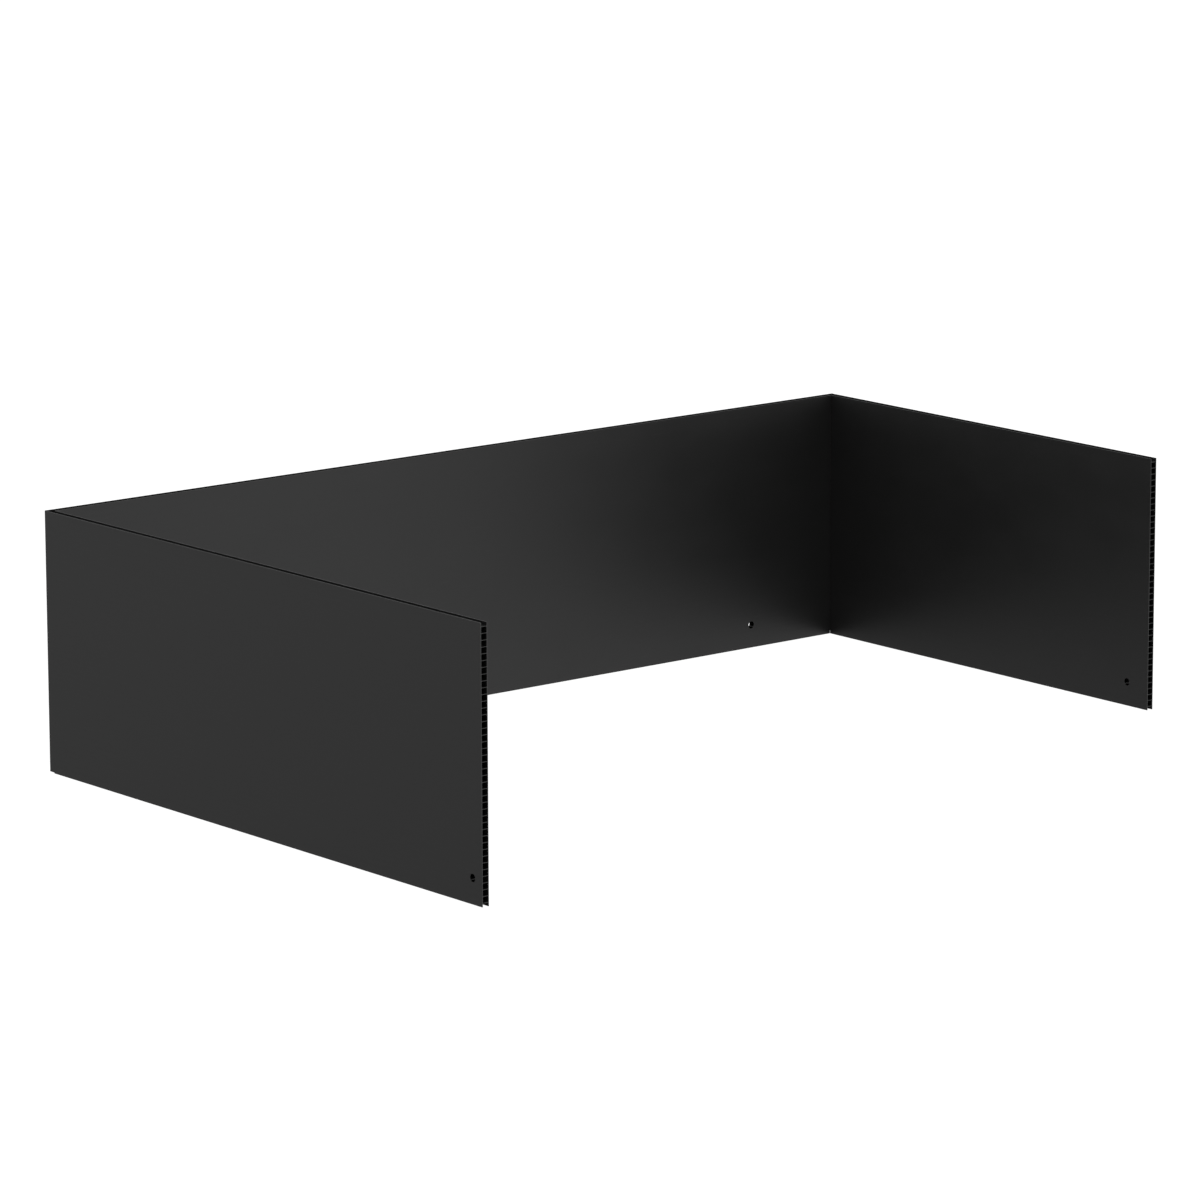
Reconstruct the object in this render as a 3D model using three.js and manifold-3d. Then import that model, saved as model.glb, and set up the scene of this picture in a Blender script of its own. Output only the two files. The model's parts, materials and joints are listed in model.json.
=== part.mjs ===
// A low three-sided fireplace screen, cut from fluted plastic board.
//
// The board is grooved on its inside face at two corners and folded there, so the outer
// skin runs on round each corner as a living hinge. Its flutes lie level, and show at the
// walls' front ends and as an open channel along the top and bottom edges. At the foot of
// each crease the side wall's outer skin is snipped away, so that the crease can't tear.
//
// Lengths are in millimetres. +X runs along the back wall, to the right as seen from the
// open front. +Y runs from the open front to the back wall. +Z is up. The origin is at the
// centre of the base.

import * as THREE from "three";
import { mergeVertices } from "three/addons/utils/BufferGeometryUtils.js";
import Module from "manifold-3d";

// Overall sizes, measured over the outer faces.
const wallHeight = 338;
const backLength = 1320;
const leftLength = 884;
const rightLength = 642;

// The fluted board.
const boardThickness = 10;
const skinThickness = 1;
const ribThickness = 0.8;
const ribPitch = 8;
const leastEdgeChannel = 3;

// The fixing holes, each a set distance in from the nearest end or corner of its wall.
const holeDiameter = 10;
const holeHeight = 32;
const leftHoleSetback = 18;
const rightHoleSetback = 39;
const backHoleSetback = 155;

// The snip in a side wall's outer skin at the foot of each crease.
const creaseSnipLength = 10;
const creaseSnipHeight = 1.2;

// Clearances between the folded pieces.
const mitreGap = 0.3;
const hingeGap = 0.3;

// Fineness of the round shapes, and how far a cutter runs past what it cuts.
const holeSegments = 32;
const hingeSegments = 24;
const reliefSegments = 8;
const overrun = 5;

// Values that follow from the sizes above.
const rearY = Math.max(leftLength, rightLength) / 2;
const ribGaps = Math.floor((wallHeight - 2 * leastEdgeChannel) / ribPitch);
const firstRibHeight = (wallHeight - ribGaps * ribPitch) / 2;
const hingeRadius = skinThickness;
const reliefRadius = hingeRadius + hingeGap;

const boardMaterial = new THREE.MeshStandardMaterial({
  name: "fluted_board",
  color: 0x1c1c1c,
  roughness: 0.5,
  metalness: 0,
});
const foldMaterial = new THREE.MeshStandardMaterial({
  name: "folded_skin",
  color: 0x232323,
  roughness: 0.42,
  metalness: 0,
});

const wasm = await Module();
wasm.setup();

function toSolid(geometry) {
  const bare = geometry.clone();
  bare.deleteAttribute("normal");
  bare.deleteAttribute("uv");
  const merged = mergeVertices(bare);
  const mesh = new wasm.Mesh({
    numProp: 3,
    vertProperties: new Float32Array(merged.attributes.position.array),
    triVerts: new Uint32Array(merged.index.array),
  });
  return new wasm.Manifold(mesh);
}

function toGeometry(solid) {
  const mesh = solid.getMesh();
  const geometry = new THREE.BufferGeometry();
  geometry.setAttribute("position", new THREE.BufferAttribute(mesh.vertProperties, 3));
  geometry.setIndex(new THREE.BufferAttribute(mesh.triVerts, 1));
  geometry.computeVertexNormals();
  return geometry;
}

// A wall is drawn in its own frame: x along its length, y from its outer face to its inner
// face, and z up. The board's section is drawn in (y, z) and pushed out along x.

function outlinePath(points) {
  return points.map(([across, up]) => new THREE.Vector2(across, up));
}

function boardSection() {
  const innerSkin = boardThickness - skinThickness;
  const lowestRibUnderside = firstRibHeight - ribThickness / 2;
  const highestRibTop = wallHeight - lowestRibUnderside;
  const section = new THREE.Shape(
    outlinePath([
      [0, 0],
      [skinThickness, 0],
      [skinThickness, lowestRibUnderside],
      [innerSkin, lowestRibUnderside],
      [innerSkin, 0],
      [boardThickness, 0],
      [boardThickness, wallHeight],
      [innerSkin, wallHeight],
      [innerSkin, highestRibTop],
      [skinThickness, highestRibTop],
      [skinThickness, wallHeight],
      [0, wallHeight],
    ]),
  );
  for (let gap = 0; gap < ribGaps; gap += 1) {
    const fluteFloor = firstRibHeight + gap * ribPitch + ribThickness / 2;
    const fluteRoof = fluteFloor + ribPitch - ribThickness;
    const flute = outlinePath([
      [skinThickness, fluteFloor],
      [skinThickness, fluteRoof],
      [innerSkin, fluteRoof],
      [innerSkin, fluteFloor],
    ]);
    section.holes.push(new THREE.Path(flute));
  }
  return section;
}

function boardLength(length) {
  const geometry = new THREE.ExtrudeGeometry(boardSection(), { depth: length, bevelEnabled: false });
  const alongX = new THREE.Matrix4().makeBasis(
    new THREE.Vector3(0, 1, 0),
    new THREE.Vector3(0, 0, 1),
    new THREE.Vector3(1, 0, 0),
  );
  return toSolid(geometry.applyMatrix4(alongX));
}

// The groove's half of one corner: a mitre at 45 degrees, and a round relief about the
// hinge line. `away` is 1 where the wall runs to +x from the corner and -1 where it runs back.
function cornerCutter(cornerX, away) {
  const halfGap = mitreGap / 2;
  const lastAngle = Math.PI / 4 - Math.asin(halfGap / reliefRadius);
  const deep = boardThickness + overrun;
  const mitreFoot = deep + halfGap * Math.SQRT2;
  const plan = [
    [-overrun, -overrun],
    [skinThickness, -overrun],
  ];
  for (let step = 0; step <= reliefSegments; step += 1) {
    const angle = -Math.PI / 2 + ((lastAngle + Math.PI / 2) * step) / reliefSegments;
    const alongWall = skinThickness + reliefRadius * Math.cos(angle);
    const intoWall = skinThickness + reliefRadius * Math.sin(angle);
    plan.push([alongWall, intoWall]);
  }
  plan.push([mitreFoot, deep]);
  plan.push([-overrun, deep]);
  const outline = plan.map(([along, into]) => new THREE.Vector2(cornerX + away * along, into));
  const depth = wallHeight + 2 * overrun;
  const geometry = new THREE.ExtrudeGeometry(new THREE.Shape(outline), { depth, bevelEnabled: false });
  return toSolid(geometry.translate(0, 0, -overrun));
}

function creaseSnipCutter(cornerX, away) {
  const length = creaseSnipLength + overrun;
  const height = creaseSnipHeight + overrun;
  const depth = boardThickness / 2 + overrun;
  const geometry = new THREE.BoxGeometry(length, depth, height);
  const centreX = cornerX + (away * (creaseSnipLength - overrun)) / 2;
  const centreY = (boardThickness / 2 - overrun) / 2;
  const centreZ = (creaseSnipHeight - overrun) / 2;
  return toSolid(geometry.translate(centreX, centreY, centreZ));
}

function holeCutter(holeX) {
  const radius = holeDiameter / 2;
  const depth = boardThickness + 2 * overrun;
  const geometry = new THREE.CylinderGeometry(radius, radius, depth, holeSegments);
  return toSolid(geometry.translate(holeX, boardThickness / 2, holeHeight));
}

function wall(name, length, corners, holes) {
  let board = boardLength(length);
  for (const corner of corners) {
    board = board.subtract(cornerCutter(corner.x, corner.away));
    if (corner.snipped) {
      board = board.subtract(creaseSnipCutter(corner.x, corner.away));
    }
  }
  for (const holeX of holes) {
    board = board.subtract(holeCutter(holeX));
  }
  const mesh = new THREE.Mesh(toGeometry(board), boardMaterial);
  mesh.name = name;
  return mesh;
}

function foldHinge(name) {
  const length = wallHeight - creaseSnipHeight;
  const geometry = new THREE.CylinderGeometry(hingeRadius, hingeRadius, length, hingeSegments);
  geometry.rotateX(Math.PI / 2);
  geometry.translate(0, 0, creaseSnipHeight + length / 2);
  const mesh = new THREE.Mesh(toGeometry(toSolid(geometry)), foldMaterial);
  mesh.name = name;
  return mesh;
}

// The left wall starts at its rear corner and runs forward.
const leftCorners = [{ x: 0, away: 1, snipped: true }];
const leftWall = wall("left_wall", leftLength, leftCorners, [leftLength - leftHoleSetback]);
leftWall.position.set(-backLength / 2, rearY, 0);
leftWall.rotation.z = -Math.PI / 2;

// The back wall starts at its right corner and runs to the left one.
const backCorners = [
  { x: 0, away: 1, snipped: false },
  { x: backLength, away: -1, snipped: false },
];
const backHoles = [backHoleSetback, backLength - backHoleSetback];
const backWall = wall("back_wall", backLength, backCorners, backHoles);
backWall.position.set(backLength / 2, rearY, 0);
backWall.rotation.z = Math.PI;

// The right wall starts at its front end and runs back to its corner.
const rightCorners = [{ x: rightLength, away: -1, snipped: true }];
const rightWall = wall("right_wall", rightLength, rightCorners, [rightHoleSetback]);
rightWall.position.set(backLength / 2, rearY - rightLength, 0);
rightWall.rotation.z = Math.PI / 2;

// The bent skin at each corner, drawn as a bead on the line that the wall turns about.
const hingeInset = skinThickness;
const leftFoldHinge = foldHinge("left_fold_hinge");
leftFoldHinge.position.set(-backLength / 2 + hingeInset, rearY - hingeInset, 0);
const rightFoldHinge = foldHinge("right_fold_hinge");
rightFoldHinge.position.set(backLength / 2 - hingeInset, rearY - hingeInset, 0);

const screen = new THREE.Group();
screen.add(backWall, leftWall, rightWall, leftFoldHinge, rightFoldHinge);

export default screen;
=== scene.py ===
"""Builds the looks of a low three-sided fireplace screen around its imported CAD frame.

The screen is black fluted polypropylene board. It is grooved on its inside face at two
corners and folded there, so that the outer skin runs on round each corner. Lengths are in
metres, in the CAD model's own axes: +X along the back wall, +Y from the open front to the
back wall, and +Z up.
"""

import json
import math

import bmesh
import bpy
from mathutils import Matrix, Vector, noise
from mathutils.geometry import delaunay_2d_cdt


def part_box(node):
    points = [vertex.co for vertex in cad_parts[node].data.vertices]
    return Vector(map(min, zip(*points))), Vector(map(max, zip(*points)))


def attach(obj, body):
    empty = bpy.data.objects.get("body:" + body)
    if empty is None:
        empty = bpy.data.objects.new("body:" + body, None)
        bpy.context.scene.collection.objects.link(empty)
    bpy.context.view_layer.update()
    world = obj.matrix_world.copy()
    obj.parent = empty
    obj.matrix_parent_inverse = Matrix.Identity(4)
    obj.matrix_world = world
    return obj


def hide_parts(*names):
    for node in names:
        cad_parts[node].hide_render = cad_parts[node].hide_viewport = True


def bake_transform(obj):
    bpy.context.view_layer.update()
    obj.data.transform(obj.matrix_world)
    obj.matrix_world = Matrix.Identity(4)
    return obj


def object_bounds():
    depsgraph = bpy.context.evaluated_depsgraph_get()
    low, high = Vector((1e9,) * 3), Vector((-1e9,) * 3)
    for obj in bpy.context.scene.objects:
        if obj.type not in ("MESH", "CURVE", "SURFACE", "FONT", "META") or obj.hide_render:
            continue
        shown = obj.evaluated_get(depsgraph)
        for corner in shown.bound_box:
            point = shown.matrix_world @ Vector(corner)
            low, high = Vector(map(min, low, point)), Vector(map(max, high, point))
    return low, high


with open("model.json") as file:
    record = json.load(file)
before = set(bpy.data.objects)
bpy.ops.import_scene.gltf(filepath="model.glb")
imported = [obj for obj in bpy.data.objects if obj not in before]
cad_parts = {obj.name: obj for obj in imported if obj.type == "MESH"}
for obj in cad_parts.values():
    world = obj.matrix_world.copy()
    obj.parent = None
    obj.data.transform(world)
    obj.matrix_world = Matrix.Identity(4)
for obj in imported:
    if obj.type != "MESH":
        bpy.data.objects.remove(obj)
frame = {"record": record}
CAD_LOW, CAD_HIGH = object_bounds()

bl_info = {
    "name": "Fluted board fireplace screen",
    "version": (1, 0, 0),
    "blender": (4, 5, 0),
    "location": "View3D > Sidebar > Screen",
    "description": "Builds a folding three-sided fireplace screen of fluted board",
    "category": "Add Mesh",
}

MM = 0.001
SMOOTH_BELOW = math.radians(32)

HEIGHT = CAD_HIGH.z - CAD_LOW.z
THICKNESS = CAD_HIGH.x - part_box("right_wall")[0].x
SNIP_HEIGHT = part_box("left_fold_hinge")[0].z

# A wall's finishes, as places in its list of materials.
FACE, CUT, INSIDE, BORE = 0, 1, 2, 3


def linear(hex_colour):
    """An sRGB hex colour as linear red, green, blue and alpha."""
    channels = [int(hex_colour[place : place + 2], 16) / 255 for place in (1, 3, 5)]
    curved = [c / 12.92 if c <= 0.04045 else ((c + 0.055) / 1.055) ** 2.4 for c in channels]
    return (*curved, 1.0)


# Settings that a user would change.


class BoardSettings(bpy.types.PropertyGroup):
    """Sizes and colours of the fluted board."""

    skin: bpy.props.FloatProperty(
        name="Skin",
        description="Thickness of each of the board's two skins",
        default=1.0 * MM,
        min=0.3 * MM,
        unit="LENGTH",
    )
    rib: bpy.props.FloatProperty(
        name="Rib",
        description="Thickness of the ribs between the flutes",
        default=0.8 * MM,
        min=0.2 * MM,
        unit="LENGTH",
    )
    rib_spacing: bpy.props.FloatProperty(
        name="Rib spacing",
        description="Distance from the middle of one rib to the middle of the next",
        default=8.0 * MM,
        min=2.0 * MM,
        unit="LENGTH",
    )
    least_channel: bpy.props.FloatProperty(
        name="Least edge channel",
        description="Least depth from a long edge to the middle of the nearest rib",
        default=3.0 * MM,
        min=1.0 * MM,
        unit="LENGTH",
    )
    fillet: bpy.props.FloatProperty(
        name="Flute fillet",
        description="Radius where a rib meets a skin",
        default=0.5 * MM,
        min=0.05 * MM,
        unit="LENGTH",
    )
    edge_radius: bpy.props.FloatProperty(
        name="Edge radius",
        description="Radius that handling has worn on the skins' cut edges",
        default=0.18 * MM,
        min=0.02 * MM,
        unit="LENGTH",
    )
    sink: bpy.props.FloatProperty(
        name="Sink",
        description="How far a skin has drawn in between two ribs as the board cooled",
        default=0.025 * MM,
        min=0.0,
        unit="LENGTH",
    )
    stray: bpy.props.FloatProperty(
        name="Cut stray",
        description="How far the long cut edges stray from a straight line",
        default=0.15 * MM,
        min=0.0,
        unit="LENGTH",
    )
    hole_diameter: bpy.props.FloatProperty(
        name="Hole diameter",
        description="Diameter of the drilled fixing holes",
        default=10.0 * MM,
        min=2.0 * MM,
        unit="LENGTH",
    )
    face_colour: bpy.props.FloatVectorProperty(
        name="Face colour",
        description="Colour of the board's smooth faces",
        default=linear("#070707"),
        size=4,
        min=0.0,
        max=1.0,
        subtype="COLOR",
    )
    # Painted shade: the board's own black made darker for inside the flutes, where shade falls.
    flute_shade_colour: bpy.props.FloatVectorProperty(
        name="Flute colour",
        description="Darkest colour inside the flutes",
        default=linear("#050505"),
        size=4,
        min=0.0,
        max=1.0,
        subtype="COLOR",
    )
    scuff_colour: bpy.props.FloatVectorProperty(
        name="Scuff colour",
        description="Colour of the faint scuffs on the faces, and of the bent skin",
        default=linear("#242424"),
        size=4,
        min=0.0,
        max=1.0,
        subtype="COLOR",
    )
    cut_colour: bpy.props.FloatVectorProperty(
        name="Cut colour",
        description="Colour where the board was sawn or routed",
        default=linear("#2c2c2c"),
        size=4,
        min=0.0,
        max=1.0,
        subtype="COLOR",
    )


class FoldSettings(bpy.types.PropertyGroup):
    """Sizes of the folded corners."""

    reach: bpy.props.FloatProperty(
        name="Fold reach",
        description="Distance from a corner at which the bent skin becomes flat wall",
        default=3.0 * MM,
        min=2.0 * MM,
        unit="LENGTH",
    )
    web: bpy.props.FloatProperty(
        name="Web",
        description="Thickness of skin that the groove leaves at the bend",
        default=0.7 * MM,
        min=0.2 * MM,
        unit="LENGTH",
    )
    mitre_gap: bpy.props.FloatProperty(
        name="Mitre gap",
        description="Gap left between the two mitred faces of a folded corner",
        default=0.3 * MM,
        min=0.0,
        unit="LENGTH",
    )
    snip_length: bpy.props.FloatProperty(
        name="Snip length",
        description="Length of the snip in the side wall's skin at the foot of each bend",
        default=THICKNESS,
        min=1.0 * MM,
        unit="LENGTH",
    )


class StageSettings(bpy.types.PropertyGroup):
    """The floor, lights and camera."""

    floor_size: bpy.props.FloatProperty(
        name="Floor size",
        description="Length of each side of the square floor",
        default=80.0,
        min=4.0,
        unit="LENGTH",
    )
    floor_colour: bpy.props.FloatVectorProperty(
        name="Floor colour",
        description="Colour of the floor",
        default=linear("#303030"),
        size=4,
        min=0.0,
        max=1.0,
        subtype="COLOR",
    )
    glow_colour: bpy.props.FloatVectorProperty(
        name="Floor glow colour",
        description="Colour of the light that comes up through the floor",
        default=linear("#ffffff"),
        size=4,
        min=0.0,
        max=1.0,
        subtype="COLOR",
    )
    floor_glow: bpy.props.FloatProperty(
        name="Floor glow",
        description="Brightness of the light that comes up through the floor",
        default=1.0,
        min=0.0,
    )
    sky: bpy.props.FloatProperty(
        name="Surround",
        description="Brightness of the white surround above the horizon",
        default=0.94,
        min=0.0,
    )
    front_right: bpy.props.FloatProperty(
        name="Front right",
        description="Brightness that a soft light adds in front of the screen, to the right",
        default=0.5,
        min=0.0,
    )
    front_left: bpy.props.FloatProperty(
        name="Front left",
        description="Brightness that a broad soft light adds in front of the screen, to the left",
        default=0.59,
        min=0.0,
    )
    lamp_power: bpy.props.FloatProperty(
        name="Lamp power",
        description="Power of the large soft lamp",
        default=6.0,
        min=0.0,
        unit="POWER",
    )
    azimuth: bpy.props.FloatProperty(
        name="Camera azimuth",
        description="Turn of the camera to the right of the open front",
        default=math.radians(-39.355),
        subtype="ANGLE",
    )
    elevation: bpy.props.FloatProperty(
        name="Camera elevation",
        description="Angle of the camera above the level",
        default=math.radians(11.842),
        subtype="ANGLE",
    )
    roll: bpy.props.FloatProperty(
        name="Camera roll",
        description="Turn of the camera about its line of sight",
        default=math.radians(-0.151),
        subtype="ANGLE",
    )
    distance: bpy.props.FloatProperty(
        name="Camera distance",
        description="Distance from the camera to the middle of the screen",
        default=7.926,
        min=1.0,
        unit="LENGTH",
    )
    move_right: bpy.props.FloatProperty(
        name="Camera move right",
        description="How far the camera stands to the right of where the middle is central",
        default=-0.0926,
        unit="LENGTH",
    )
    move_up: bpy.props.FloatProperty(
        name="Camera move up",
        description="How far the camera stands above where the middle is central",
        default=0.035,
        unit="LENGTH",
    )
    lens: bpy.props.FloatProperty(
        name="Lens",
        description="Focal length of the camera's lens",
        default=186.57,
        min=20.0,
        unit="CAMERA",
    )


# Materials.


def add_node(tree, kind, links=None, **settings):
    """Adds a shader node with its settings, and links its inputs to the sources given."""
    node = tree.nodes.new(kind)
    inputs = settings.pop("inputs", {})
    for name, value in settings.items():
        setattr(node, name, value)
    for socket, value in inputs.items():
        node.inputs[socket].default_value = value
    for socket, source in (links or {}).items():
        tree.links.new(source, node.inputs[socket])
    return node


def new_material(name):
    """A material with an empty node tree."""
    material = bpy.data.materials.new(name)
    material.use_nodes = True
    material.node_tree.nodes.clear()
    return material, material.node_tree


def per_metre(*sizes):
    """Texture scales, per metre, for patches of the given sizes in millimetres."""
    return [1 / (size * MM) for size in sizes]


def plastic(tree, colour, roughness, height, depth, gloss=0.5):
    """Ends a plastic's node tree with its shader, its fine relief and its output."""
    relief = add_node(
        tree,
        "ShaderNodeBump",
        {"Height": height},
        inputs={"Strength": 1.0, "Distance": depth},
    )
    shader = add_node(
        tree,
        "ShaderNodeBsdfPrincipled",
        {"Base Color": colour, "Roughness": roughness, "Normal": relief.outputs["Normal"]},
        inputs={"IOR": 1.49, "Specular IOR Level": gloss},
    )
    add_node(tree, "ShaderNodeOutputMaterial", {"Surface": shader.outputs["BSDF"]})


def extruded_polypropylene(board):
    """Polypropylene board as the die and the cooling rolls leave it.

    The eye sees a satin black. Faint level lines come from the die's lips, the gloss drifts
    over a hand's width, and a few rubbed streaks are duller and greyer than the rest.
    """
    material, tree = new_material("extruded_polypropylene")
    place = add_node(tree, "ShaderNodeTexCoord").outputs["Object"]
    # Real die lines are about 0.3 mm apart. They are drawn at 1.5 mm, so that they show.
    along_die = add_node(
        tree,
        "ShaderNodeMapping",
        {"Vector": place},
        inputs={"Scale": per_metre(220, 220, 1.5)},
    )
    die_lines = add_node(
        tree,
        "ShaderNodeTexNoise",
        {"Vector": along_die.outputs["Vector"]},
        inputs={"Scale": 1.0, "Detail": 2.0},
    )
    # The gloss drifts over patches of about 110 by 60 mm.
    over_patches = add_node(
        tree,
        "ShaderNodeMapping",
        {"Vector": place},
        inputs={"Scale": per_metre(110, 110, 60)},
    )
    gloss_drift = add_node(
        tree,
        "ShaderNodeTexNoise",
        {"Vector": over_patches.outputs["Vector"]},
        inputs={"Scale": 1.0, "Detail": 2.0},
    )
    # The rolls' grain is about 0.1 mm, and is drawn at 0.8 mm.
    roll_grain = add_node(
        tree,
        "ShaderNodeTexNoise",
        {"Vector": place},
        inputs={"Scale": 1 / (0.8 * MM), "Detail": 3.0},
    )
    # Rubbed streaks are about 50 mm long and 1 mm wide.
    along_streaks = add_node(
        tree,
        "ShaderNodeMapping",
        {"Vector": place},
        inputs={"Scale": per_metre(50, 50, 1.0)},
    )
    rubbing = add_node(
        tree,
        "ShaderNodeTexNoise",
        {"Vector": along_streaks.outputs["Vector"]},
        inputs={"Scale": 1.0, "Detail": 4.0},
    )
    streaks = add_node(
        tree,
        "ShaderNodeMapRange",
        {"Value": rubbing.outputs["Fac"]},
        inputs={"From Min": 0.7, "From Max": 0.85},
    )
    colour = add_node(
        tree,
        "ShaderNodeMix",
        {"Factor": streaks.outputs["Result"]},
        data_type="RGBA",
        inputs={6: board.face_colour, 7: board.scuff_colour},
    )
    drifting = add_node(
        tree,
        "ShaderNodeMapRange",
        {"Value": gloss_drift.outputs["Fac"]},
        inputs={"From Min": 0.3, "From Max": 0.7, "To Min": 0.36, "To Max": 0.4},
    )
    lined = add_node(
        tree,
        "ShaderNodeMath",
        {0: die_lines.outputs["Fac"], 2: drifting.outputs["Result"]},
        operation="MULTIPLY_ADD",
        inputs={1: 0.04},
    )
    duller = add_node(
        tree,
        "ShaderNodeMath",
        {0: streaks.outputs["Result"], 2: lined.outputs["Value"]},
        operation="MULTIPLY_ADD",
        inputs={1: 0.12},
    )
    height = add_node(
        tree,
        "ShaderNodeMath",
        {0: die_lines.outputs["Fac"], 2: roll_grain.outputs["Fac"]},
        operation="MULTIPLY_ADD",
        inputs={1: 2.0},
    )
    plastic(
        tree, colour.outputs[2], duller.outputs["Value"], height.outputs["Value"], 0.015 * MM
    )
    return material


def raw_and_shaded_polypropylene(board):
    """Polypropylene inside the flutes, which no roll has touched.

    It is dull, with long drawn lines down each flute, and its colour runs from the faces' black to a
    darker one, as painted shade inside the flutes.
    """
    material, tree = new_material("raw_and_shaded_polypropylene")
    place = add_node(tree, "ShaderNodeTexCoord").outputs["Object"]
    # Drawn lines are about 60 mm long and 0.9 mm apart.
    along_flute = add_node(
        tree,
        "ShaderNodeMapping",
        {"Vector": place},
        inputs={"Scale": per_metre(60, 60, 0.9)},
    )
    drawn = add_node(
        tree,
        "ShaderNodeTexNoise",
        {"Vector": along_flute.outputs["Vector"]},
        inputs={"Scale": 1.0, "Detail": 3.0},
    )
    # Painted shade: the drawn lines run between the faces' black and the darker flute shade colour.
    colour = add_node(
        tree,
        "ShaderNodeMix",
        {"Factor": drawn.outputs["Fac"]},
        data_type="RGBA",
        inputs={6: board.flute_shade_colour, 7: board.face_colour},
    )
    roughness = add_node(
        tree,
        "ShaderNodeMapRange",
        {"Value": drawn.outputs["Fac"]},
        inputs={"From Min": 0.3, "From Max": 0.7, "To Min": 0.6, "To Max": 0.75},
    )
    plastic(
        tree,
        colour.outputs[2],
        roughness.outputs["Result"],
        drawn.outputs["Fac"],
        0.04 * MM,
        gloss=0.15,
    )
    return material


def sawn_polypropylene(board):
    """Polypropylene where a saw or router has cut it.

    The teeth leave the black dull and greyer, with tooth marks across the cut and a few
    bright smears where the plastic softened.
    """
    material, tree = new_material("sawn_polypropylene")
    place = add_node(tree, "ShaderNodeTexCoord").outputs["Object"]
    # Tooth marks are about 0.5 mm apart, and are drawn at 0.9 mm.
    across_cut = add_node(
        tree,
        "ShaderNodeMapping",
        {"Vector": place},
        inputs={"Scale": per_metre(0.9, 6, 0.9)},
    )
    tooth_marks = add_node(
        tree,
        "ShaderNodeTexNoise",
        {"Vector": across_cut.outputs["Vector"]},
        inputs={"Scale": 1.0, "Detail": 3.0},
    )
    # Smears are about 5 mm across.
    softening = add_node(
        tree,
        "ShaderNodeTexNoise",
        {"Vector": place},
        inputs={"Scale": 1 / (5 * MM), "Detail": 3.0},
    )
    smears = add_node(
        tree,
        "ShaderNodeMapRange",
        {"Value": softening.outputs["Fac"]},
        inputs={"From Min": 0.42, "From Max": 0.7},
    )
    colour = add_node(
        tree,
        "ShaderNodeMix",
        {"Factor": smears.outputs["Result"]},
        data_type="RGBA",
        inputs={6: board.cut_colour, 7: board.scuff_colour},
    )
    roughness = add_node(
        tree,
        "ShaderNodeMapRange",
        {"Value": tooth_marks.outputs["Fac"]},
        inputs={"From Min": 0.3, "From Max": 0.7, "To Min": 0.5, "To Max": 0.72},
    )
    plastic(
        tree,
        colour.outputs[2],
        roughness.outputs["Result"],
        tooth_marks.outputs["Fac"],
        0.06 * MM,
    )
    return material


def drilled_polypropylene(board):
    """Polypropylene inside a drilled hole, where the bit has rubbed it smooth and dark.

    The drill's flutes leave fine rings round the bore, which break up its shine.
    """
    material, tree = new_material("drilled_polypropylene")
    place = add_node(tree, "ShaderNodeTexCoord").outputs["Object"]
    # The bit's rings are about 0.2 mm apart, and are drawn at 0.6 mm.
    rings = add_node(
        tree,
        "ShaderNodeTexNoise",
        {"Vector": place},
        inputs={"Scale": 1 / (0.6 * MM), "Detail": 2.0},
    )
    colour = add_node(
        tree,
        "ShaderNodeMix",
        {"Factor": rings.outputs["Fac"]},
        data_type="RGBA",
        inputs={6: board.face_colour, 7: board.scuff_colour},
    )
    roughness = add_node(
        tree,
        "ShaderNodeMapRange",
        {"Value": rings.outputs["Fac"]},
        inputs={"From Min": 0.3, "From Max": 0.7, "To Min": 0.5, "To Max": 0.65},
    )
    plastic(
        tree,
        colour.outputs[2],
        roughness.outputs["Result"],
        rings.outputs["Fac"],
        0.03 * MM,
        gloss=0.3,
    )
    return material


def creased_polypropylene(board, fold):
    """Polypropylene skin bent over a groove.

    Stretching has polished the outside of the bend, and clouded it a little towards grey in
    short bands across it.
    """
    material, tree = new_material("creased_polypropylene")
    place = add_node(tree, "ShaderNodeTexCoord").outputs["Object"]
    either_side = add_node(tree, "ShaderNodeVectorMath", {0: place}, operation="ABSOLUTE")
    apart = add_node(tree, "ShaderNodeSeparateXYZ", {"Vector": either_side.outputs["Vector"]})
    in_plan = add_node(
        tree,
        "ShaderNodeCombineXYZ",
        {"X": apart.outputs["X"], "Y": apart.outputs["Y"]},
    )
    from_bend = add_node(
        tree,
        "ShaderNodeVectorMath",
        {0: in_plan.outputs["Vector"]},
        operation="DISTANCE",
        inputs={1: (CAD_HIGH.x, CAD_HIGH.y, 0.0)},
    )
    near = add_node(
        tree,
        "ShaderNodeMapRange",
        {"Value": from_bend.outputs["Value"]},
        inputs={"From Min": 0.3 * MM, "From Max": fold.reach, "To Min": 1.0, "To Max": 0.0},
    )
    # Clouded bands are about 2 mm long down the bend.
    down_bend = add_node(
        tree,
        "ShaderNodeMapping",
        {"Vector": place},
        inputs={"Scale": per_metre(30, 30, 2.0)},
    )
    bands = add_node(
        tree,
        "ShaderNodeTexNoise",
        {"Vector": down_bend.outputs["Vector"]},
        inputs={"Scale": 1.0, "Detail": 3.0},
    )
    stretched = add_node(
        tree,
        "ShaderNodeMapRange",
        {"Value": bands.outputs["Fac"]},
        inputs={"From Min": 0.35, "From Max": 0.65, "To Min": 0.2, "To Max": 1.0},
    )
    clouded = add_node(
        tree,
        "ShaderNodeMath",
        {0: near.outputs["Result"], 1: stretched.outputs["Result"]},
        operation="MULTIPLY",
    )
    colour = add_node(
        tree,
        "ShaderNodeMix",
        {"Factor": clouded.outputs["Value"]},
        data_type="RGBA",
        inputs={6: board.face_colour, 7: board.scuff_colour},
    )
    roughness = add_node(
        tree,
        "ShaderNodeMapRange",
        {"Value": clouded.outputs["Value"]},
        inputs={"To Min": 0.4, "To Max": 0.32},
    )
    plastic(
        tree,
        colour.outputs[2],
        roughness.outputs["Result"],
        bands.outputs["Fac"],
        0.03 * MM,
    )
    return material


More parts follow.
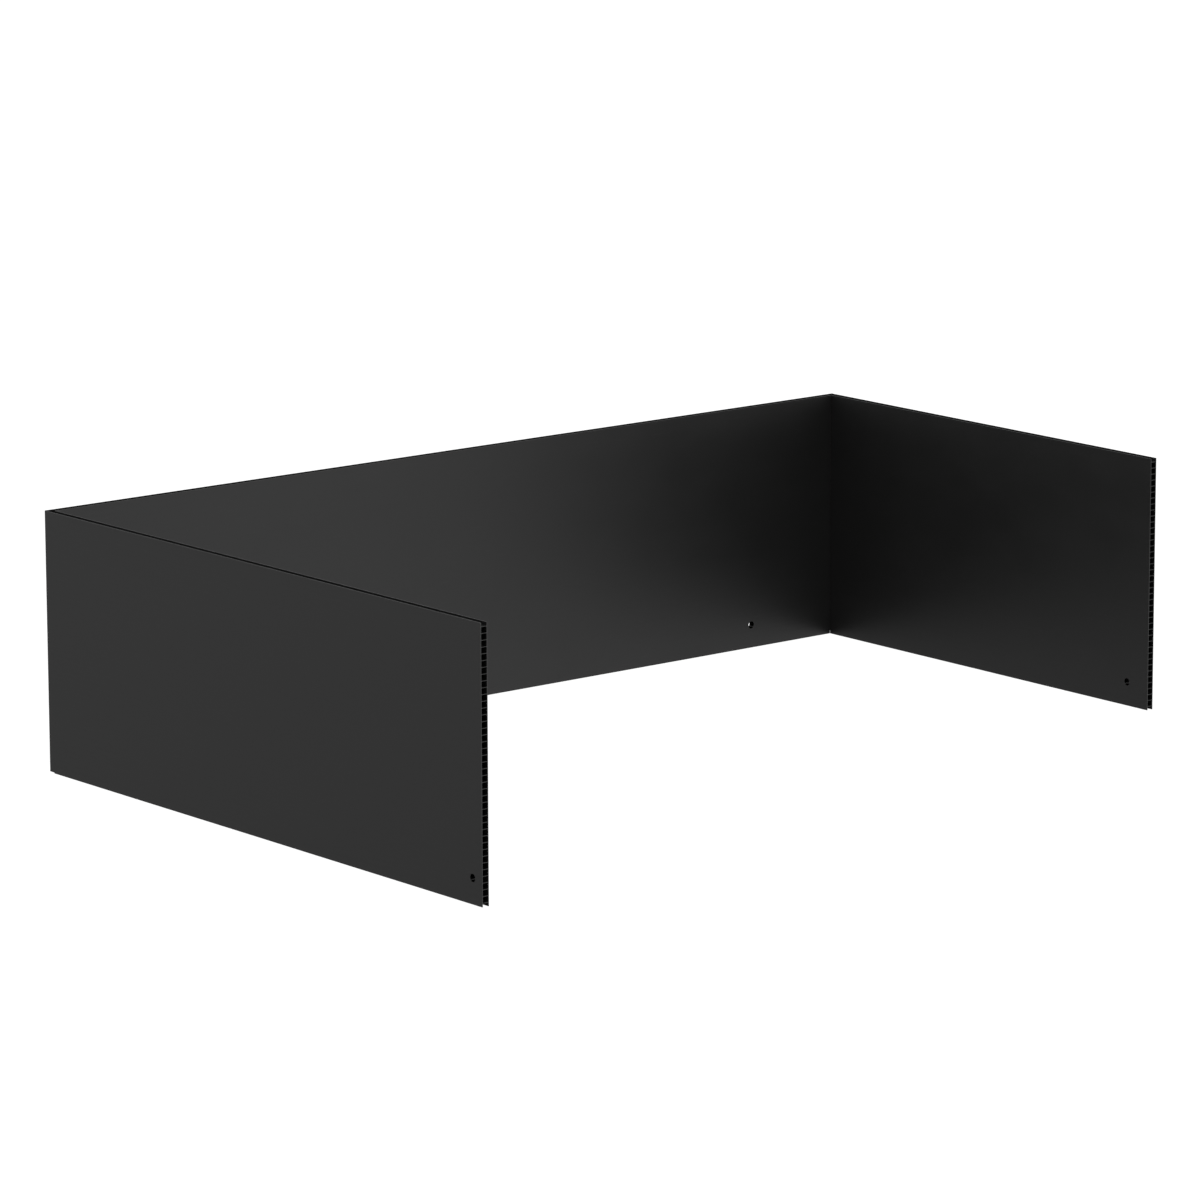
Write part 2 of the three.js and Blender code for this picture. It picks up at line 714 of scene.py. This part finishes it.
def lit_acrylic(stage):
    """Matt opal acrylic lit evenly from behind: the eye sees plain white, with no shadow."""
    material, tree = new_material("lit_acrylic")
    inputs = {
        "Base Color": stage.floor_colour,
        "Roughness": 0.9,
        "Emission Color": stage.glow_colour,
        "Emission Strength": stage.floor_glow,
    }
    shader = add_node(tree, "ShaderNodeBsdfPrincipled", inputs=inputs)
    add_node(tree, "ShaderNodeOutputMaterial", {"Surface": shader.outputs["BSDF"]})
    return material


def once(name, maker, *settings):
    """The named material, made the first time that it is asked for."""
    return bpy.data.materials.get(name) or maker(*settings)


# The board. A wall is drawn in its own frame: x along its length, y from its outer face to
# its inner face, and z up. Its section is drawn in (y, z).


def rounded_loop(corners, radii, steps=3, support=1.5):
    """Rounds a loop's square corners, with the material on the left of its path.

    Returns each point with the direction that leads into the material there. A point a
    little before and after each corner keeps the flat faces flat in smooth shading.
    """
    loop = []
    for place, corner in enumerate(corners):
        arriving = (corner - corners[place - 1]).normalized()
        leaving = (corners[(place + 1) % len(corners)] - corner).normalized()
        turn = arriving.cross(leaving)
        radius = radii[place]
        centre = corner + (leaving - arriving) * radius
        loop.append((corner - arriving * radius * support, leaving * turn))
        for step in range(steps + 1):
            angle = math.pi / 2 * step / steps
            outward = arriving * math.sin(angle) - leaving * math.cos(angle)
            loop.append((centre + outward * radius, outward * -turn))
        loop.append((corner + leaving * radius * support, arriving * -turn))
    return loop


def first_rib_height(board):
    """Height of the lowest rib's middle, with the ribs centred in the board's height."""
    gaps = math.floor((HEIGHT - 2 * board.least_channel) / board.rib_spacing + 1e-6)
    return (HEIGHT - gaps * board.rib_spacing) / 2, gaps


def sunken_face(start, end, into, board):
    """Points up or down a face between two heights, drawn in a little between the ribs."""
    first, gaps = first_rib_height(board)
    steps_per_gap = 4
    points = []
    for step in range(gaps * steps_per_gap + 1):
        depth = board.sink * math.sin(math.pi * step / steps_per_gap) ** 2
        height = first + step * board.rib_spacing / steps_per_gap
        points.append((Vector((start.x, height)) + into * depth, into))
    return points if end.y > start.y else points[::-1]


def board_outline(board):
    """The outline of the board's section, with its channels and worn edges."""
    first, _ = first_rib_height(board)
    low = first - board.rib / 2
    high = HEIGHT - low
    near, far = board.skin, THICKNESS - board.skin
    corners = [
        (0, 0), (near, 0), (near, low), (far, low), (far, 0), (THICKNESS, 0),
        (THICKNESS, HEIGHT), (far, HEIGHT), (far, high), (near, high), (near, HEIGHT), (0, HEIGHT),
    ]
    inside = {(near, low), (far, low), (near, high), (far, high)}
    radii = [board.fillet if corner in inside else board.edge_radius for corner in corners]
    loop = rounded_loop([Vector(corner) for corner in corners], radii)
    outline = []
    for place, (point, into) in enumerate(loop):
        outline.append((point, into))
        after, _ = loop[(place + 1) % len(loop)]
        if abs(after.y - point.y) > HEIGHT / 2:
            outline += sunken_face(point, after, into, board)
    return outline


def flute_outlines(board):
    """The outline of each flute, from the lowest to the highest."""
    first, gaps = first_rib_height(board)
    near, far = board.skin, THICKNESS - board.skin
    outlines = []
    for gap in range(gaps):
        low = first + gap * board.rib_spacing + board.rib / 2
        high = low + board.rib_spacing - board.rib
        corners = [Vector(c) for c in ((near, low), (near, high), (far, high), (far, low))]
        outlines.append(rounded_loop(corners, [board.fillet] * 4))
    return outlines


def mitre(across, board, fold):
    """How far from a corner the wall starts, at a given depth in from its outer face."""
    hair = 0.001 * board.skin
    if across <= board.skin + hair:
        return fold.reach
    # Just inside the outer skin, the cut stands clear of the bend.
    clear_of_bend = 2.1 * board.skin
    return max(across + fold.mitre_gap / math.sqrt(2), clear_of_bend)


def end_stations(length, mitred, at_start, board):
    """Stations that close one end of a wall: a mitre, or a sawn end with its edges broken."""
    side = 1 if at_start else -1
    end = 0.0 if at_start else length
    if mitred:
        return [(end, side, 0.0)]
    # The saw's end is rounded a little less than the long edges, which are handled more.
    radius = 0.8 * board.edge_radius
    stations = []
    for angle in (0, math.pi / 4, math.pi / 2):
        back = radius * (1 - math.cos(angle))
        stations.append((end + side * back, 0, radius * (1 - math.sin(angle))))
    stations.append((end + side * radius * 2, 0, 0.0))
    return stations if at_start else stations[::-1]


def swept(mesh, loop, stations, board, fold):
    """Sweeps a loop through stations, and returns its ring of points at each of them."""
    rings = []
    for along, lean, inset in stations:
        ring = []
        for point, into in loop:
            across, up = point + into * inset
            shift = lean * mitre(across, board, fold) if lean else 0.0
            ring.append(mesh.verts.new((along + shift, across, up)))
        rings.append(ring)
    for ring, after in zip(rings, rings[1:]):
        for place in range(len(loop)):
            ahead = (place + 1) % len(loop)
            mesh.faces.new((ring[place], ring[ahead], after[ahead], after[place]))
    return rings


def close_end(mesh, rings):
    """Fills one end of a wall between its outline, which comes first, and its flutes."""
    verts = [vert for ring in rings for vert in ring]
    owners = [place for place, ring in enumerate(rings) for _ in ring]
    edges = []
    for ring in rings:
        first = len(edges)
        count = len(ring)
        edges += [(first + step, first + (step + 1) % count) for step in range(count)]
    points = [Vector((vert.co.y, vert.co.z)) for vert in verts]
    inside = 1
    _, _, triangles, sources, _, _ = delaunay_2d_cdt(points, edges, [], inside, 1e-9)
    for triangle in triangles:
        corners = [sources[index][0] for index in triangle]
        touched = {owners[corner] for corner in corners}
        # A triangle whose corners are all on one flute lies in its hollow.
        if len(touched) > 1 or touched == {0}:
            face = mesh.faces.new([verts[corner] for corner in corners])
            face.material_index = CUT


def hole_cutter(mesh, along, height, board, sides=48):
    """A drill's path through the board, flared at both faces to break the hole's rims."""
    radius = board.hole_diameter / 2
    broken = board.edge_radius
    spare = 2 * MM
    profile = [
        (-spare, radius + broken + spare),
        (broken, radius),
        (THICKNESS - broken, radius),
        (THICKNESS + spare, radius + broken + spare),
    ]
    rings = []
    for across, reach in profile:
        # Turned by half a side, so that no corner of it is level with a rib.
        angles = [2 * math.pi * (side + 0.5) / sides for side in range(sides)]
        ring = [(along + reach * math.cos(a), across, height + reach * math.sin(a)) for a in angles]
        rings.append([mesh.verts.new(place) for place in ring])
    for ring, after in zip(rings, rings[1:]):
        for place in range(sides):
            ahead = (place + 1) % sides
            mesh.faces.new((ring[place], ring[ahead], after[ahead], after[place]))
    mesh.faces.new(rings[0])
    mesh.faces.new(rings[-1])


def snip_cutter(mesh, end, side, fold):
    """The piece of outer skin that is snipped away at the foot of a bend."""
    spare = 5 * MM
    low = Vector((min(end - side * spare, end + side * fold.snip_length), -spare, -spare))
    high = Vector((max(end - side * spare, end + side * fold.snip_length), THICKNESS / 2, SNIP_HEIGHT))
    box = bmesh.ops.create_cube(mesh, size=1.0)
    for vert in box["verts"]:
        share = vert.co + Vector((0.5, 0.5, 0.5))
        vert.co = Vector([low[axis] + share[axis] * (high[axis] - low[axis]) for axis in range(3)])


def new_piece(name, mesh, materials):
    """Links a finished mesh into the scene as a piece, with its normals facing out."""
    bmesh.ops.recalc_face_normals(mesh, faces=mesh.faces[:])
    data = bpy.data.meshes.new(name)
    mesh.to_mesh(data)
    mesh.free()
    for material in materials:
        data.materials.append(material)
    piece = bpy.data.objects.new(name, data)
    bpy.context.scene.collection.objects.link(piece)
    return piece


def cut_away(piece, cutter):
    """Takes the cutter's shape out of the piece, and removes the cutter."""
    modifier = piece.modifiers.new("cut", "BOOLEAN")
    modifier.operation = "DIFFERENCE"
    modifier.solver = "EXACT"
    modifier.object = cutter
    bpy.context.view_layer.update()
    cut = piece.evaluated_get(bpy.context.evaluated_depsgraph_get())
    data = bpy.data.meshes.new_from_object(cut)
    piece.modifiers.clear()
    whole = piece.data
    piece.data = data
    data.name = whole.name
    bpy.data.meshes.remove(whole)
    bpy.data.objects.remove(cutter)


def stray_edges(data, board):
    """Lets the long cut edges wander a little, as a hand-held saw does, and never outwards."""
    first, _ = first_rib_height(board)
    low = first - board.rib / 2
    # The saw wanders over about 250 mm, and wobbles over about 40 mm.
    wander = 1 / (250 * MM)
    wobble = 1 / (40 * MM)
    for vert in data.vertices:
        place = Vector((vert.co.x, vert.co.y, 0))
        for edge, side in ((0.0, 1), (HEIGHT, -1)):
            share = 1 - abs(vert.co.z - edge) / low
            if share > 0:
                offset = Vector((0, 0, 5 * side))
                slow = noise.noise(place * wander + offset)
                fast = noise.noise(place * wobble + offset)
                wave = min(max(0.5 + 0.6 * slow + 0.25 * fast, 0.0), 1.0)
                vert.co.z += side * share * wave * board.stray


def shade(data):
    """Shades a mesh smooth, apart from its real edges."""
    data.polygons.foreach_set("use_smooth", [True] * len(data.polygons))
    data.set_sharp_from_angle(angle=SMOOTH_BELOW)
    data.update()


def mark_finishes(mesh, board):
    """Gives the long cut edges the sawn finish, and the flutes and channels the raw one.

    The mesh is still in the wall's own frame, where y runs from one outer face to the other.
    """
    worn = 0.9 * board.edge_radius
    for face in mesh.faces:
        middle = face.calc_center_median()
        if min(middle.z, HEIGHT - middle.z) < worn and abs(face.normal.z) > 0.3:
            face.material_index = CUT
        elif face.material_index == FACE and worn < middle.y < THICKNESS - worn:
            face.material_index = INSIDE


def build_wall(context, name, node, body, start, along, inward, length, mitred, holes):
    """Builds one wall of fluted board, and sets it in its place on the frame."""
    board, fold = context.scene.screen_board, context.scene.screen_fold
    mesh = bmesh.new()
    opening = end_stations(length, mitred[0], True, board)
    closing = end_stations(length, mitred[1], False, board)
    # Rings about 20 mm apart let the long edges stray, and stop short of the mitres.
    margin = 16 * MM
    ring_spacing = 20 * MM
    count = max(2, round((length - 2 * margin) / ring_spacing))
    between = [(margin + (length - 2 * margin) * step / count, 0, 0.0) for step in range(count + 1)]
    outline = swept(mesh, board_outline(board), opening + between + closing, board, fold)
    flutes = [
        swept(mesh, loop, opening + closing, board, fold) for loop in flute_outlines(board)
    ]
    close_end(mesh, [outline[0]] + [flute[0] for flute in flutes])
    close_end(mesh, [outline[-1]] + [flute[-1] for flute in flutes])
    mesh.normal_update()
    mark_finishes(mesh, board)
    materials = [
        once("extruded_polypropylene", extruded_polypropylene, board),
        once("sawn_polypropylene", sawn_polypropylene, board),
        once("raw_and_shaded_polypropylene", raw_and_shaded_polypropylene, board),
        once("drilled_polypropylene", drilled_polypropylene, board),
    ]
    piece = new_piece(name, mesh, materials)

    cutter = bmesh.new()
    for hole in holes:
        hole_cutter(cutter, hole[0], hole[1], board)
    for face in cutter.faces:
        face.material_index = BORE
    if node != "back_wall":
        snip_cutter(cutter, 0.0 if mitred[0] else length, 1 if mitred[0] else -1, fold)
    for face in cutter.faces:
        if face.material_index != BORE:
            face.material_index = CUT
    cut_away(piece, new_piece(name + "_cutter", cutter, materials))

    placement = Matrix((along, inward, Vector((0, 0, 1)))).transposed().to_4x4()
    placement.translation = start
    piece.data.transform(placement)
    stray_edges(piece.data, board)
    shade(piece.data)
    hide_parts(node)
    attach(piece, body)
    return piece


def holes_on(names, start, along):
    """Places of the named holes on a wall: how far along it they are, and how high up."""
    openings = {opening["name"]: opening for opening in frame["record"]["physics"]["openings"]}
    places = []
    for name in names:
        low, high = (Vector(corner) for corner in openings[name]["box_m"])
        middle = (low + high) / 2
        places.append(((middle - start).dot(along), middle.z))
    return places


# The bent skin at a corner.


def fold_outline(board, fold):
    """The bent skin seen from above, as distances in from the two walls' outer faces."""
    steps = 10
    quarter = [math.pi / 2 * step / steps for step in range(steps + 1)]
    axis = board.skin
    inner = board.skin - fold.web
    outside = [(axis - axis * math.cos(a), axis - axis * math.sin(a)) for a in quarter]
    inside = [(axis - inner * math.cos(a), axis - inner * math.sin(a)) for a in quarter]
    taper = (fold.reach + axis) / 2
    return (
        [(0.0, fold.reach), (0.0, taper)]
        + outside
        + [(taper, 0.0), (fold.reach, 0.0), (fold.reach, board.skin), (taper, fold.web)]
        + inside[::-1]
        + [(fold.web, taper), (board.skin, fold.reach)]
    )


def build_fold(context, name, node, side):
    """Builds the skin bent round one rear corner."""
    board, fold = context.scene.screen_board, context.scene.screen_fold
    corner = Vector((CAD_HIGH.x * side, CAD_HIGH.y, 0))
    outline = fold_outline(board, fold)
    ring_spacing = 6 * MM
    count = round((HEIGHT - SNIP_HEIGHT) / ring_spacing)
    # The bend's dents are about 1.1 mm wide round it and 14 mm long down it.
    around_bend = 900
    down_bend = 70
    deepest = 0.12 * MM
    mesh = bmesh.new()
    rings = []
    for step in range(count + 1):
        height = SNIP_HEIGHT + (HEIGHT - SNIP_HEIGHT) * step / count
        ring = []
        for from_side, from_back in outline:
            # The bend is a little uneven down its length, and never stands proud of it.
            close = max(0.0, 1 - (from_side + from_back) / (2 * board.skin))
            ripple = noise.noise(Vector((side, from_side * around_bend, height * down_bend)))
            dent = deepest * close * (0.5 + 0.5 * ripple)
            place = corner + Vector((-side * (from_side + dent), -(from_back + dent), height))
            ring.append(mesh.verts.new(place))
        rings.append(ring)
    for ring, after in zip(rings, rings[1:]):
        for place in range(len(outline)):
            ahead = (place + 1) % len(outline)
            mesh.faces.new((ring[place], ring[ahead], after[ahead], after[place]))
    for ring in (rings[0], rings[-1]):
        mesh.faces.new(ring).material_index = CUT
    materials = [
        once("creased_polypropylene", creased_polypropylene, board, fold),
        once("sawn_polypropylene", sawn_polypropylene, board),
    ]
    piece = new_piece(name, mesh, materials)
    stray_edges(piece.data, board)
    shade(piece.data)
    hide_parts(node)
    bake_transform(piece)
    return piece


# The stage.


def build_floor(stage):
    """A plain pale floor, a hair under the walls."""
    mesh = bmesh.new()
    half = stage.floor_size / 2
    corners = ((-half, -half), (half, -half), (half, half), (-half, half))
    mesh.faces.new([mesh.verts.new((x, y, -0.05 * MM)) for x, y in corners])
    floor = new_piece("floor", mesh, [lit_acrylic(stage)])
    # Its light comes from below all round, so the board mirrors the surround in its place.
    floor.visible_glossy = False


def build_surround(scene, stage):
    """A white surround: bright above the horizon, and brighter still in front of the screen."""
    world = bpy.data.worlds.new("surround")
    scene.world = world
    world.use_nodes = True
    tree = world.node_tree
    tree.nodes.clear()
    direction = add_node(tree, "ShaderNodeTexCoord").outputs["Generated"]
    height = add_node(tree, "ShaderNodeSeparateXYZ", {"Vector": direction}).outputs["Z"]
    # The surround fades from its full brightness, 20 degrees up, to none 20 degrees down.
    above = add_node(
        tree,
        "ShaderNodeMapRange",
        {"Value": height},
        inputs={"From Min": -0.35, "From Max": 0.35, "To Max": stage.sky},
    )
    # The narrower light is ahead of the screen's right half, and the broader one on its left.
    facing_right = add_node(
        tree,
        "ShaderNodeVectorMath",
        {0: direction},
        operation="DOT_PRODUCT",
        inputs={1: (math.sin(-stage.azimuth), -math.cos(stage.azimuth), 0.0)},
    )
    towards_right = add_node(
        tree,
        "ShaderNodeMapRange",
        {"Value": facing_right.outputs["Value"]},
        inputs={"From Min": -1.0},
    )
    narrowed = add_node(
        tree,
        "ShaderNodeMath",
        {0: towards_right.outputs["Result"]},
        operation="POWER",
        inputs={1: 6.0},
    )
    facing_left = add_node(
        tree,
        "ShaderNodeVectorMath",
        {0: direction},
        operation="DOT_PRODUCT",
        inputs={1: (-math.cos(stage.azimuth), math.sin(stage.azimuth), 0.0)},
    )
    left = add_node(
        tree,
        "ShaderNodeMapRange",
        {"Value": facing_left.outputs["Value"]},
        inputs={"From Min": -1.0, "To Max": stage.front_left},
    )
    right = add_node(
        tree,
        "ShaderNodeMath",
        {0: narrowed.outputs["Value"], 2: left.outputs["Result"]},
        operation="MULTIPLY_ADD",
        inputs={1: stage.front_right},
    )
    strength = add_node(
        tree,
        "ShaderNodeMath",
        {0: right.outputs["Value"], 1: above.outputs["Result"]},
        operation="ADD",
    )
    light = add_node(
        tree,
        "ShaderNodeBackground",
        {"Strength": strength.outputs["Value"]},
        inputs={"Color": linear("#ffffff")},
    )
    add_node(tree, "ShaderNodeOutputWorld", {"Surface": light.outputs["Background"]})


def build_lamp(scene, name, place, aim, size, power):
    """A large soft square lamp, aimed at a point."""
    data = bpy.data.lights.new(name, "AREA")
    data.shape = "SQUARE"
    data.size = size
    data.energy = power
    lamp = bpy.data.objects.new(name, data)
    lamp.location = place
    lamp.rotation_euler = (Vector(aim) - Vector(place)).to_track_quat("-Z", "Y").to_euler()
    scene.collection.objects.link(lamp)


def build_camera(scene, stage):
    """The camera, in front of the screen and to its left, a little above it."""
    level = math.cos(stage.elevation)
    ahead = Vector(
        (
            -math.sin(stage.azimuth) * level,
            math.cos(stage.azimuth) * level,
            -math.sin(stage.elevation),
        )
    )
    right = Vector((math.cos(stage.azimuth), math.sin(stage.azimuth), 0))
    right = Matrix.Rotation(-stage.roll, 3, ahead) @ right
    up = right.cross(ahead)
    middle = (CAD_LOW + CAD_HIGH) / 2
    data = bpy.data.cameras.new("camera")
    data.lens = stage.lens
    data.clip_end = 200.0
    camera = bpy.data.objects.new("camera", data)
    turned = Matrix((right, up, -ahead)).transposed().to_4x4()
    turned.translation = (
        middle - ahead * stage.distance + right * stage.move_right + up * stage.move_up
    )
    camera.matrix_world = turned
    scene.collection.objects.link(camera)
    scene.camera = camera


# Operators, one for each piece or group of like pieces and one for the stage.


class SCREEN_OT_back_board(bpy.types.Operator):
    """Builds the back wall, mitred at both ends"""

    bl_idname = "screen.back_board"
    bl_label = "Back board"

    def execute(self, context):
        start = Vector((CAD_HIGH.x, CAD_HIGH.y, 0))
        along = Vector((-1, 0, 0))
        inward = Vector((0, -1, 0))
        length = CAD_HIGH.x - CAD_LOW.x
        holes = holes_on(("back_left_hole", "back_right_hole"), start, along)
        mitred = (True, True)
        build_wall(
            context, "back_board", "back_wall", "back", start, along, inward, length, mitred, holes
        )
        return {"FINISHED"}


class SCREEN_OT_side_boards(bpy.types.Operator):
    """Builds the two side walls, each mitred at the rear and sawn square at the front"""

    bl_idname = "screen.side_boards"
    bl_label = "Side boards"

    def execute(self, context):
        start = Vector((CAD_LOW.x, CAD_HIGH.y, 0))
        along = Vector((0, -1, 0))
        length = CAD_HIGH.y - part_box("left_wall")[0].y
        build_wall(
            context, "left_board", "left_wall", "left_side", start, along,
            Vector((1, 0, 0)), length, (True, False), holes_on(("left_hole",), start, along),
        )
        start = Vector((CAD_HIGH.x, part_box("right_wall")[0].y, 0))
        along = Vector((0, 1, 0))
        length = CAD_HIGH.y - start.y
        build_wall(
            context, "right_board", "right_wall", "right_side", start, along,
            Vector((-1, 0, 0)), length, (False, True), holes_on(("right_hole",), start, along),
        )
        return {"FINISHED"}


class SCREEN_OT_fold_skins(bpy.types.Operator):
    """Builds the outer skin where it bends round the two rear corners"""

    bl_idname = "screen.fold_skins"
    bl_label = "Fold skins"

    def execute(self, context):
        build_fold(context, "left_fold_skin", "left_fold_hinge", -1)
        build_fold(context, "right_fold_skin", "right_fold_hinge", 1)
        return {"FINISHED"}


class SCREEN_OT_stage(bpy.types.Operator):
    """Builds the floor, the soft light and the camera"""

    bl_idname = "screen.stage"
    bl_label = "Stage"

    def execute(self, context):
        scene = context.scene
        stage = scene.screen_stage
        build_floor(stage)
        build_surround(scene, stage)
        build_lamp(scene, "soft_lamp", (3.0, -3.5, 3.2), (0, 0, 0.2), 3.0, stage.lamp_power)
        build_camera(scene, stage)
        scene.view_settings.view_transform = "Standard"
        return {"FINISHED"}


class SCREEN_PT_panel(bpy.types.Panel):
    """The screen's pieces and settings"""

    bl_idname = "SCREEN_PT_panel"
    bl_label = "Fireplace screen"
    bl_space_type = "VIEW_3D"
    bl_region_type = "UI"
    bl_category = "Screen"

    def draw(self, context):
        layout = self.layout
        for operator in OPERATORS:
            layout.operator(operator.bl_idname)
        for settings in (
            context.scene.screen_board, context.scene.screen_fold, context.scene.screen_stage
        ):
            box = layout.box()
            for name in settings.__annotations__:
                box.prop(settings, name)


OPERATORS = (
    SCREEN_OT_back_board,
    SCREEN_OT_side_boards,
    SCREEN_OT_fold_skins,
    SCREEN_OT_stage,
)
CLASSES = (BoardSettings, FoldSettings, StageSettings, *OPERATORS, SCREEN_PT_panel)


def register():
    for cls in CLASSES:
        bpy.utils.register_class(cls)
    bpy.types.Scene.screen_board = bpy.props.PointerProperty(type=BoardSettings)
    bpy.types.Scene.screen_fold = bpy.props.PointerProperty(type=FoldSettings)
    bpy.types.Scene.screen_stage = bpy.props.PointerProperty(type=StageSettings)


def unregister():
    del bpy.types.Scene.screen_stage
    del bpy.types.Scene.screen_fold
    del bpy.types.Scene.screen_board
    for cls in reversed(CLASSES):
        bpy.utils.unregister_class(cls)


def main():
    register()
    bpy.ops.screen.back_board()
    bpy.ops.screen.side_boards()
    bpy.ops.screen.fold_skins()
    bpy.ops.screen.stage()


if __name__ == "__main__":
    main()
